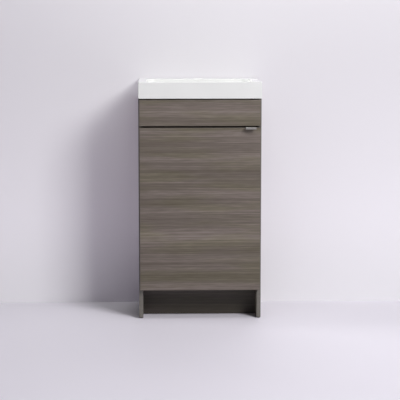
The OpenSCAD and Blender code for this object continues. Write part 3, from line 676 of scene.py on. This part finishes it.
bracket_round = 0.0004
spacer_round = 0.0003
front_lipping = (0.118, 0.099, 0.082)
front_streak = (0.104, 0.088, 0.073)
milk_grey = (0.74, 0.77, 0.77)
milk_pale = (0.84, 0.86, 0.86)
front_lipping_material = strip_finish("brown_lipping", front_lipping, front_streak)
dress(upright_facing, "fascia")
fit_out(softened("fascia_edging", "fascia_lipping", lipping_round,
                 chosen=outer_edges("fascia_edging")),
        front_lipping_material, "root", "lipping", "fascia_edging")
milky = Finish("milky_plastic", Transmission_Weight=0.25, IOR=1.49)
haze = milky.point.noise((300, 300, 300), detail=2.0)
milky_material = milky.feed(Base_Color=haze.mixed(milk_grey, milk_pale),
                            Roughness=0.28 + 0.2 * haze, Normal=haze.bumps(0.00003))
fit_out(softened("fascia_spacers", "spacers", spacer_round, segments=2), milky_material,
        "root", "clear_plastic", "fascia_spacers")
fit_out(softened("fascia_brackets", "angles", bracket_round, segments=2), zinc_material,
        "root", "zinc_steel", "fascia_brackets")
drive_screws("fascia_screws", "fascia_fixing_screws", "root", [to_wall] * 2)
drive_screws("bracket_screws", "angle_screws", "root",
             [head_side(*ends) for ends in solids("bracket_screws")])


# Hinges: two cupped hinges of nickel-plated steel. The plates and arms are screwed to the
# left side panel; the cups are pressed into the door, and two links join cup and arm.
pressed_round = 0.00035
nickel_warm = (0.66, 0.63, 0.58)
nickel_cool = (0.60, 0.60, 0.60)
arm_screw_shank_r = 0.0025
cup_screw_head_h = 0.001
nickel = Finish("nickel_plate", Metallic=1.0)
warmth = nickel.point.noise((60, 60, 60), detail=2.0).between(0.35, 0.65)
drawing_marks = nickel.point.noise((700, 2500, 700), detail=2.0)
nickel_material = nickel.feed(Base_Color=warmth.mixed(nickel_warm, nickel_cool),
                              Roughness=0.20 + 0.16 * drawing_marks,
                              Normal=drawing_marks.bumps(0.00001))
for node, name, body in (
        ("hinge_plates", "mounting_plates", "root"), ("hinge_arms", "cranked_arms", "root"),
        ("hinge_cups", "cups", "door"), ("hinge_outer_links", "outer_link_pair", "outer_links"),
        ("hinge_inner_links", "inner_link_pair", "inner_links")):
    fit_out(softened(node, name, pressed_round, segments=2), nickel_material, body,
            "nickel_steel", node)


def riveted_pin(pin_r, length):
    """An upright pin with chamfered ends."""
    return turned("pin", [(0, 0), (0.6 * pin_r, 0), (pin_r, 0.3 * pin_r),
                          (pin_r, length - 0.3 * pin_r), (0.6 * pin_r, length),
                          (0, length)])


pins = [(((high.x - low.x) / 2, high.z - low.z), standing(low, high, low.z))
        for low, high in solids("hinge_pins")]
fit_out(set_out("riveted_pins", riveted_pin, pins), nickel_material, "root",
        "nickel_steel", "hinge_pins")
drive_screws("hinge_plate_screws", "plate_screws", "root", [to_right] * 4)
drive_screws("hinge_arm_screws", "arm_screws", "root", [to_right] * 2,
             shank_r=arm_screw_shank_r)
drive_screws("hinge_cup_screws", "cup_screws", "door", [to_wall] * 4,
             head_h=cup_screw_head_h)


# Door: one faced board with the fascia's lipping all round, hung on the left. Two soft domed
# bumpers on its back take up the knock against the right side panel.
def bumper(pad_r, pad_h):
    """A soft dome that stands on its flat back."""
    return turned("bumper", [
        (0, 0), (0.9 * pad_r, 0), (pad_r, 0.08 * pad_h), (pad_r, 0.3 * pad_h),
        (0.92 * pad_r, 0.6 * pad_h), (0.7 * pad_r, 0.85 * pad_h),
        (0.4 * pad_r, 0.97 * pad_h), (0, pad_h)])


dress(upright_facing, "door")
fit_out(softened("door_edging", "door_lipping", lipping_round,
                 chosen=outer_edges("door_edging")),
        front_lipping_material, "door", "lipping", "door_edging")
pads = [(((high.x - low.x) / 2, high.y - low.y),
         facing(((low.x + high.x) / 2, low.y, (low.z + high.z) / 2), to_wall))
        for low, high in solids("door_bumpers")]
fit_out(set_out("bumpers", bumper, pads), milky_material, "door", "clear_plastic",
        "door_bumpers")


# Handle: a tab of satin aluminium, one strip bent over the door's top edge. Its lip hangs
# in front for the fingertips, and its rear leg is screwed to the back of the door.
strip_t = 0.002
strip_round = 0.00035
bend_segments = 6
lip_drop = 0.007
handle_screw_head_h = 0.0012
round_over = math.radians(50)
satin_grey = (0.30, 0.29, 0.28)
satin_pale = (0.36, 0.35, 0.34)
tab_low, tab_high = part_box("door_handle")
lip_low = tab_high.z - lip_drop
strip_path = [(tab_low.y, tab_high.z), (tab_high.y, tab_high.z), (tab_high.y, tab_low.z)]
bpy.ops.object.select_all(action="DESELECT")
bpy.ops.mesh.primitive_plane_add(size=1)
handle = bpy.context.object
handle.name = "tab_handle"
handle.data.transform(
    Matrix.Translation(((tab_low.x + tab_high.x) / 2, tab_low.y, (lip_low + tab_high.z) / 2))
    @ Matrix.Rotation(math.pi / 2, 4, "X")
    @ Matrix.Diagonal((tab_high.x - tab_low.x, tab_high.z - lip_low, 1, 1)))


def pick_edges(piece, chosen):
    """Selects the edges of a piece whose two ends are chosen together, for an operator."""
    bpy.context.tool_settings.mesh_select_mode = (False, True, False)
    unpick(piece)
    for edge in piece.data.edges:
        ends = [piece.data.vertices[corner] for corner in edge.vertices]
        if chosen(ends[0].co, ends[1].co):
            edge.select = ends[0].select = ends[1].select = True


def same(*values):
    """Whether lengths are the same but for rounding."""
    return max(values) - min(values) < 10 * weld


pick_edges(handle, lambda a, b: same(a.z, b.z, tab_high.z))
bpy.ops.object.mode_set(mode="EDIT")
for (from_y, from_z), (to_y, to_z) in zip(strip_path, strip_path[1:]):
    bpy.ops.mesh.extrude_region_move(
        TRANSFORM_OT_translate={"value": (0, to_y - from_y, to_z - from_z)})
bpy.ops.object.mode_set(mode="OBJECT")
pick_edges(handle, lambda a, b: same(a.z, b.z, tab_high.z) and same(a.y, b.y))
bpy.ops.object.mode_set(mode="EDIT")
bpy.ops.mesh.bevel(offset=strip_t, segments=bend_segments, affect="EDGES")
bpy.ops.mesh.select_all(action="SELECT")
bpy.ops.mesh.normals_make_consistent(inside=False)
bpy.ops.object.mode_set(mode="OBJECT")
thick = handle.modifiers.new("sheet", "SOLIDIFY")
thick.thickness = strip_t
thick.offset = -1 if max(handle.data.polygons, key=lambda f: f.center.z).normal.z > 0 else 1
bpy.ops.object.modifier_apply(modifier="sheet")
edges = handle.modifiers.new("edges", "BEVEL")
edges.width = strip_round
edges.segments = 2
edges.limit_method = "ANGLE"
edges.angle_limit = round_over
bpy.ops.object.modifier_apply(modifier="edges")
smoothed(handle)
satin = Finish("satin_aluminium", Metallic=1.0)
brush = satin.point.noise((25, 2600, 2600), detail=3.0)
satin_material = satin.feed(Base_Color=brush.mixed(satin_grey, satin_pale),
                            Roughness=0.44 + 0.16 * brush, Normal=brush.bumps(0.00001))
fit_out(handle, satin_material, "door", "satin_metal", "door_handle")
drive_screws("handle_screws", "leg_screws", "door", [to_wall] * 2,
             head_h=handle_screw_head_h)


# Basin: one cast slab of fireclay, open below, with a wide bowl that hangs from its top. It
# is glazed white but for its underside, and is bedded on the side panels and the rear rail.
slab_corner = 0.004
slab_wall = 0.012
rim_front, rim_side, ledge = 0.024, 0.030, 0.085
bowl_corner = 0.034
bowl_fillet = 0.028
bowl_lean = 0.010
shell_t = 0.009
glaze_round = 0.003
foot_round = 0.0015
hole_round = 0.0012
tap_hole_r = 0.0175
tap_hole_inset = 0.050
waste_hole_r = 0.023
overflow_bore_r = 0.01105
lip_t = 0.0015
overlap = 0.003
level = 0.9
slab_low, slab_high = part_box("basin")
shell_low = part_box("basin_bowl")[0]
ring_low, ring_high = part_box("overflow_ring")
ring_r = (ring_high.x - ring_low.x) / 2
ring_z = (ring_low.z + ring_high.z) / 2
bowl_floor = shell_low.z + shell_t
ceiling = slab_high.z - slab_wall
tap_y = slab_high.y - tap_hole_inset


def box_on(name, low, high):
    """A box between two corners, with its place in its mesh."""
    bpy.ops.object.select_all(action="DESELECT")
    bpy.ops.mesh.primitive_cube_add(size=1)
    piece = bpy.context.object
    piece.name = name
    low, high = Vector(low), Vector(high)
    piece.data.transform(Matrix.Translation((low + high) / 2)
                         @ Matrix.Diagonal((*(high - low), 1)))
    return piece


def pick_faces(piece, chosen):
    """Selects the chosen faces of a piece and goes to edit mode."""
    bpy.context.tool_settings.mesh_select_mode = (False, False, True)
    unpick(piece)
    for face in piece.data.polygons:
        face.select = chosen(face)
    bpy.ops.object.mode_set(mode="EDIT")


def rounded(piece, chosen, width, segments):
    """Rounds the edges of a piece whose two ends are chosen together."""
    pick_edges(piece, chosen)
    bpy.ops.object.mode_set(mode="EDIT")
    bpy.ops.mesh.bevel(offset=width, segments=segments, affect="EDGES", clamp_overlap=True)
    bpy.ops.object.mode_set(mode="OBJECT")


def tub(name, low, high, lip, corner, fillet):
    """A rounded tub form whose foot is narrower than its rim, with an upright lip on top."""
    piece = box_on(name, low, high)
    middle = (Vector(low) + Vector(high)) / 2
    narrow = [1 - 2 * bowl_lean / (high[axis] - low[axis]) for axis in (0, 1)]
    pick_faces(piece, lambda face: face.normal.z < -level)
    bpy.ops.transform.resize(value=(*narrow, 1), center_override=middle)
    bpy.ops.object.mode_set(mode="OBJECT")
    pick_faces(piece, lambda face: face.normal.z > level)
    bpy.ops.mesh.extrude_region_move(TRANSFORM_OT_translate={"value": (0, 0, lip)})
    bpy.ops.object.mode_set(mode="OBJECT")
    rounded(piece, lambda a, b: not same(a.z, b.z), corner, segments=10)
    rounded(piece, lambda a, b: same(a.z, b.z, low[2]), fillet, segments=8)
    return piece


glaze_white = (0.762, 0.768, 0.756)
glaze_shade = (0.742, 0.748, 0.736)
glaze = Finish("glaze", Coat_Weight=0.6, Coat_Roughness=0.03, IOR=1.5)
pool = glaze.point.noise((9, 9, 9), detail=2.0)
orange_peel = glaze.point.noise((160, 160, 160), detail=1.0)
glaze_material = glaze.feed(Base_Color=pool.between(0.3, 0.7).mixed(glaze_white, glaze_shade),
                            Roughness=0.12 + 0.04 * pool, Normal=orange_peel.bumps(0.00005))
clay_pale = (0.40, 0.33, 0.26)
clay_dark = (0.32, 0.26, 0.20)
clay = Finish("bare_clay", Specular_IOR_Level=0.3)
sand = clay.point.noise((700, 700, 700), detail=3.0)
clay_material = clay.feed(Base_Color=sand.between(0.35, 0.65).mixed(clay_pale, clay_dark),
                          Roughness=0.8 + 0.15 * sand, Normal=sand.bumps(0.0002))

basin = box_on("wash_basin", slab_low, slab_high)
for fired in (glaze_material, clay_material):
    basin.data.materials.append(fired)
pick_faces(basin, lambda face: face.normal.z < -level)
bpy.ops.mesh.inset(thickness=slab_wall)
bpy.ops.mesh.extrude_region_move(
    TRANSFORM_OT_translate={"value": (0, 0, ceiling - slab_low.z)})
bpy.ops.object.mode_set(mode="OBJECT")
for face in basin.data.polygons:
    side_gap = min(slab_high.x - abs(face.center.x), slab_high.y - face.center.y,
                   face.center.y - slab_low.y)
    face.material_index = int(side_gap > weld and face.center.z < slab_high.z - weld)
rounded(basin, lambda a, b: not same(a.z, b.z) and same(abs(a.x), slab_high.x),
        slab_corner, segments=5)
rim_low = Vector((slab_low.x + rim_side, slab_low.y + rim_front, bowl_floor))
rim_high = Vector((slab_high.x - rim_side, slab_high.y - ledge, ceiling))
around = Vector((shell_t, shell_t, 0))
shell = tub("shell", Vector((*(rim_low - around)[:2], shell_low.z)), rim_high + around,
            overlap, bowl_corner + shell_t, bowl_fillet + shell_t)
for fired in (glaze_material, clay_material):
    shell.data.materials.append(fired)
for face in shell.data.polygons:
    face.material_index = 1
join_by(basin, shell, "UNION")
join_by(basin, tub("bowl", rim_low, rim_high, slab_wall + overlap, bowl_corner, bowl_fillet))
rounded(basin, lambda a, b: same(a.z, b.z, slab_high.z), glaze_round, segments=4)
rounded(basin, lambda a, b: same(a.z, b.z, slab_low.z), foot_round, segments=2)

# The drill makes the tap hole, the waste hole, the seat of the overflow ring and its bore.
bowl_middle = (rim_low.y + rim_high.y) / 2
overflow_start = (0, ring_low.y - bowl_lean, ring_z)
upwards = (0, 0, 1)
for radius, start, direction, length in (
        (tap_hole_r, (0, tap_y, ceiling - overlap), upwards, slab_wall + 2 * overlap),
        (waste_hole_r, (0, bowl_middle, shell_low.z - overlap), upwards,
         shell_t + 2 * overlap),
        (ring_r, overflow_start, to_wall, bowl_lean + lip_t),
        (overflow_bore_r, overflow_start, to_wall, 3 * bowl_lean)):
    drill = turned("drill", [(0, 0), (radius, 0), (radius, length), (0, length)])
    drill.data.transform(facing(start, direction))
    join_by(basin, drill)


def on_tap_hole(a, b):
    """Picks the tap hole's upper and lower edge."""
    reach = [math.hypot(end.x, end.y - tap_y) for end in (a, b)]
    return same(*reach, tap_hole_r) and same(a.z, b.z)


rounded(basin, on_tap_hole, hole_round, segments=3)
smoothed(basin)
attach(basin, "root")
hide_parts("basin", "basin_bowl")


# Overflow ring: a chromed lip with a short tube, pushed into the hole in the bowl's back
# wall, which leads the water down behind the bowl.
tube_r = 0.011
ring_bore = 0.010
ring_edge = 0.0003
chrome_dim = (0.80, 0.80, 0.82)
chrome_bright = (0.86, 0.86, 0.88)
tube_end = ring_low.y - ring_high.y
ring = turned("overflow_lip", [
    (ring_bore, tube_end), (tube_r, tube_end), (tube_r, -lip_t),
    (ring_r - ring_edge, -lip_t), (ring_r, ring_edge - lip_t), (ring_r, -0.0007),
    (ring_r - ring_edge, -ring_edge), (ring_r - 0.0008, 0), (ring_bore + 0.0010, 0),
    (ring_bore + ring_edge, -0.0004), (ring_bore, -0.0011), (ring_bore, tube_end)])
ring.data.transform(facing((0, ring_low.y, ring_z), to_room))
chrome = Finish("chrome", Metallic=1.0)
wiped = chrome.point.noise((70, 70, 70), detail=3.0)
chrome_material = chrome.feed(Base_Color=wiped.mixed(chrome_dim, chrome_bright),
                              Roughness=0.04 + 0.10 * wiped, Normal=wiped.bumps(0.00001))
fit_out(ring, chrome_material, "root", "chrome", "overflow_ring")


# Waste: a flanged body of chromed brass, dropped through the hole in the bowl's floor, with
# a thread below. A cross bar inside it guides the stem of the plug.
fine_sides = 64
thread_pitch = 0.00231
thread_depth = 0.0006
thread_start = 0.001
thread_end = 0.002
flange_t = 0.0025
waste_edge = 0.0004
tail_r, neck_r, bore_r = 0.02095, 0.0214, 0.017
bar_t = 0.005
bar_w = 0.012
bar_bite = 0.001
bar_hole_r = 0.0044
waste_low, waste_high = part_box("waste_body")
nut_low, nut_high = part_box("waste_backnut")
flange_r = (waste_high.x - waste_low.x) / 2
flange_z = waste_high.z - flange_t
root_r = tail_r - thread_depth
turns = int((nut_low.z - waste_low.z - thread_end) / thread_pitch)
tail = [(root_r, waste_low.z)]
for turn in range(turns):
    foot_z = waste_low.z + thread_start + turn * thread_pitch
    tail += [(root_r, foot_z), (tail_r, foot_z + 0.38 * thread_pitch),
             (tail_r, foot_z + 0.52 * thread_pitch)]
fitting = turned("waste_fitting", [
    (bore_r, waste_low.z + waste_edge), (bore_r + waste_edge, waste_low.z), *tail,
    (root_r, nut_low.z), (neck_r, nut_low.z), (neck_r, flange_z),
    (flange_r - waste_edge, flange_z), (flange_r, flange_z + waste_edge),
    (flange_r - 0.0002, waste_high.z - 0.0009), (flange_r - 0.0012, waste_high.z - 0.0002),
    (flange_r - 0.003, waste_high.z), (bore_r + 0.0015, waste_high.z),
    (bore_r + waste_edge, waste_high.z - waste_edge), (bore_r, waste_high.z - 0.0015),
    (bore_r, waste_low.z + waste_edge)], sides=fine_sides)
bar = box_on("bar", (-bore_r - bar_bite, -bar_w / 2, shell_low.z - bar_t),
             (bore_r + bar_bite, bar_w / 2, shell_low.z))
drill = turned("drill", [(0, 0), (bar_hole_r, 0), (bar_hole_r, 3 * bar_t), (0, 3 * bar_t)])
drill.data.transform(Matrix.Translation((0, 0, shell_low.z - 2 * bar_t)))
join_by(bar, drill)
join_by(fitting, bar, "UNION")
smoothed(fitting)
fitting.data.transform(Matrix.Translation((0, bowl_middle, 0)))
fit_out(fitting, chrome_material, "root", "chrome", "waste_body")


# Waste nut: a six-sided nut of chromed brass with chamfered ends. It is turned up the
# waste's thread and clamps the bowl's floor between itself and the flange.
thread_fit = 0.00005
nut_chamfer = 0.0018
nut_bore = neck_r + thread_fit
nut_face_r = 0.86 * nut_high.x
nut = turned("nut", [(0, nut_low.z), (nut_face_r, nut_low.z),
                     (nut_high.x, nut_low.z + nut_chamfer),
                     (nut_high.x, nut_high.z - nut_chamfer),
                     (nut_face_r, nut_high.z), (0, nut_high.z)], sides=6)
drill = turned("drill", [(0, nut_low.z - overlap), (nut_bore, nut_low.z - overlap),
                         (nut_bore, nut_high.z + overlap), (0, nut_high.z + overlap)])
join_by(nut, drill)
smoothed(nut)
nut.name = "back_nut"
nut.data.transform(Matrix.Translation((0, bowl_middle, 0)))
fit_out(nut, chrome_material, "root", "chrome", "waste_backnut")


# Waste seals: two flat rings of soft black rubber, one under the flange and one over the
# nut. The tightened nut presses them against the bowl's floor.
rubber_black = (0.020, 0.020, 0.021)
rubber_dusty = (0.045, 0.044, 0.042)


def seal(seal_r, seal_t):
    """A flat ring with softly rounded outer edges."""
    soft = 0.25 * seal_t
    return turned("seal", [
        (nut_bore, 0), (seal_r - soft, 0), (seal_r - 0.3 * soft, 0.3 * soft),
        (seal_r, soft), (seal_r, seal_t - soft), (seal_r - 0.3 * soft, seal_t - 0.3 * soft),
        (seal_r - soft, seal_t), (nut_bore, seal_t), (nut_bore, 0)])


rubber = Finish("black_rubber")
dust = rubber.point.noise((600, 600, 600), detail=2.0)
rubber_material = rubber.feed(Base_Color=dust.mixed(rubber_black, rubber_dusty),
                              Roughness=0.65 + 0.2 * dust, Normal=dust.bumps(0.00004))
seals = set_out("seals", seal, [
    (((high.x - low.x) / 2, high.z - low.z), Matrix.Translation((0, bowl_middle, low.z)))
    for low, high in solids("waste_seals")])
fit_out(seals, rubber_material, "root", "black_rubber", "waste_seals")


# Plug: a shallow dome of chromed brass on a stem, which slides in the waste's cross bar.
# It lies in the waste at rest and is pushed up 9 mm.
stem_r = 0.004
plug_t = 0.0045
plug_low, plug_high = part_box("waste_plug")
plug_r = (plug_high.x - plug_low.x) / 2
under = plug_high.z - plug_t
plug = turned("plug", [
    (0, plug_low.z), (0.8 * stem_r, plug_low.z), (stem_r, plug_low.z + 0.2 * stem_r),
    (stem_r, under), (plug_r - 0.0015, under), (plug_r - 0.0004, under + 0.0003),
    (plug_r, under + 0.001), (plug_r - 0.0004, under + 0.0019),
    (plug_r - 0.002, under + 0.0027), (0.78 * plug_r, plug_high.z - 0.0010),
    (0.55 * plug_r, plug_high.z - 0.0004), (0.28 * plug_r, plug_high.z - 0.0001),
    (0, plug_high.z)], sides=fine_sides)
plug.data.transform(Matrix.Translation((0, bowl_middle, 0)))
fit_out(plug, chrome_material, "plug", "chrome", "waste_plug")
